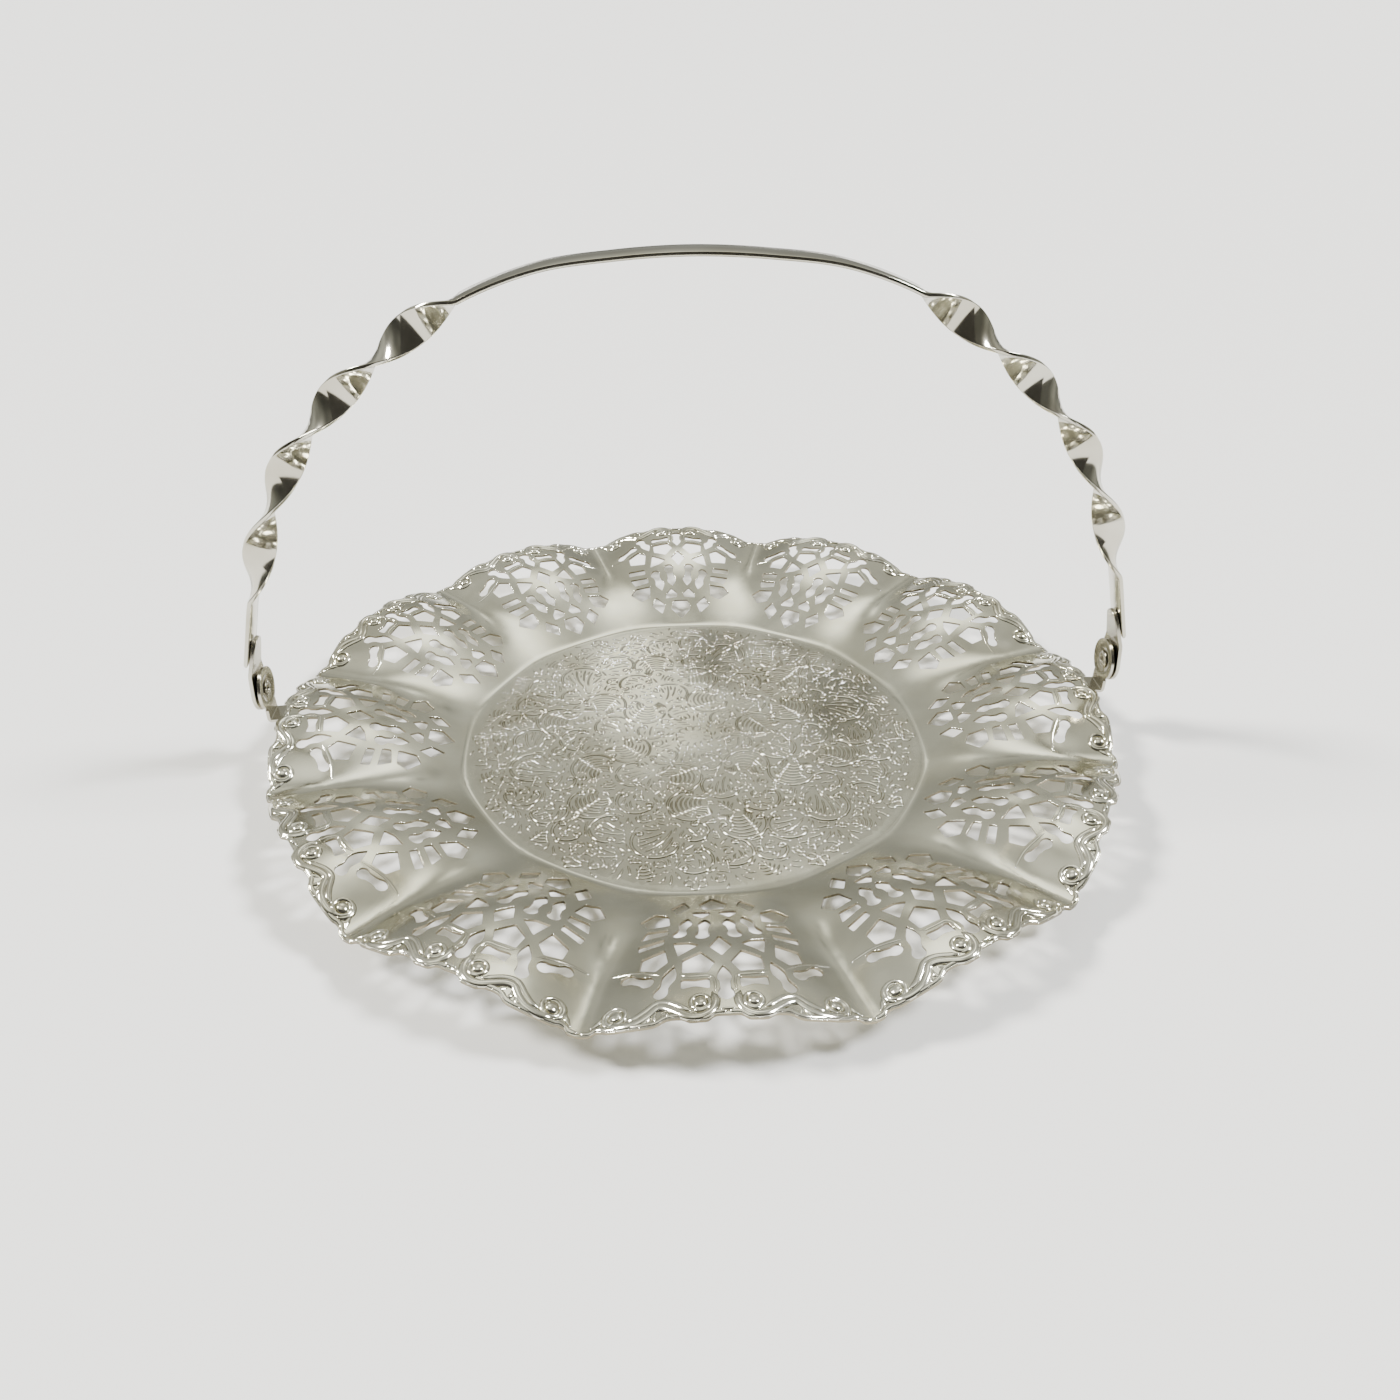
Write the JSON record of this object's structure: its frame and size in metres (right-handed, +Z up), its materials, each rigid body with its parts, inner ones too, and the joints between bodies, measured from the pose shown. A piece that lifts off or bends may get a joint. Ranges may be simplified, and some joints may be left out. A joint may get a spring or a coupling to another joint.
{
  "type": "pierced tray with swing handle",
  "caption": "Round lobed tray with a flat engraved well, a pierced sloping border and a relief rim, under a twisted strip handle that swings on riveted hinges.",
  "frame": {"origin": "middle of the flat underside of the well, which the tray stands on", "axes": "+Z up through the well, +X along the line of the handle's two hinges"},
  "size_m": [0.2694, 0.2578, 0.1508],
  "materials": {
    "silver": "polished silver plate with light wear",
    "rivet_silver": "duller silver plate"
  },
  "bodies": {
    "tray": {"dish": "silver", "lug_right": "silver", "lug_left": "silver", "eyelet_rivet_right": "rivet_silver", "eyelet_rivet_left": "rivet_silver"},
    "handle": {"handle_strip": "silver", "link_plate_right": "silver", "link_plate_left": "silver"}
  },
  "joints": [
    {"name": "handle_swing", "type": "hinge", "parent": "tray", "child": "handle", "pos_m": [0, 0, 0.0254], "axis": [1, 0, 0], "range_deg": [-91.5, 91.5]}
  ]
}
